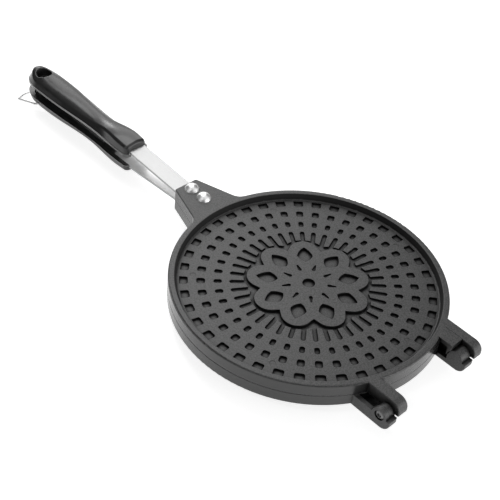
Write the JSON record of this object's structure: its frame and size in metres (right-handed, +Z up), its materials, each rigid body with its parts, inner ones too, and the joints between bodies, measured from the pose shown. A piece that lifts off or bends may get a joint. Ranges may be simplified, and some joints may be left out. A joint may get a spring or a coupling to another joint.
{
  "type": "stovetop waffle cone maker",
  "caption": "Hinged pair of round cast plates with a rosette and dimple pattern, long riveted handles with moulded grips, and a wire bail that keeps the handles together.",
  "frame": {"origin": "centre of the round plates, on the plane of the lower plate's bottom rim", "axes": "+Z up through the plates, +X from the hinge to the handles, +Y along the hinge pins"},
  "size_m": [0.4641, 0.2, 0.0349],
  "materials": {
    "coated_casting": "cast, with a matte charcoal non-stick coating",
    "strap_steel": "bright rolled steel",
    "rivet_metal": "bright, pressed dome",
    "grip_plastic": "moulded, glossy black",
    "screw_steel": "zinc plated",
    "pin_steel": "dark steel, riveted over",
    "bail_wire": "drawn steel wire"
  },
  "bodies": {
    "lower_half": {"lower_plate": "coated_casting", "lower_strap": "strap_steel", "lower_rivet_1": "rivet_metal", "lower_rivet_2": "rivet_metal", "lower_grip": "grip_plastic", "lower_grip_screw": "screw_steel", "hinge_pin_near": "pin_steel", "hinge_pin_far": "pin_steel"},
    "upper_half": {"upper_plate": "coated_casting", "upper_strap": "strap_steel", "upper_rivet_1": "rivet_metal", "upper_rivet_2": "rivet_metal", "upper_grip": "grip_plastic", "upper_grip_screw": "screw_steel"},
    "bail": {"wire_bail": "bail_wire"}
  },
  "joints": [
    {"name": "plate_hinge", "type": "hinge", "parent": "lower_half", "child": "upper_half", "pos_m": [-0.1104, 0, 0.0096], "axis": [0, -1, 0], "range_deg": [0, 110]},
    {"name": "bail_swing", "type": "hinge", "parent": "lower_half", "child": "bail", "pos_m": [0.311, 0, 0.0011], "axis": [0, -1, 0], "range_deg": [-60, 110]}
  ]
}
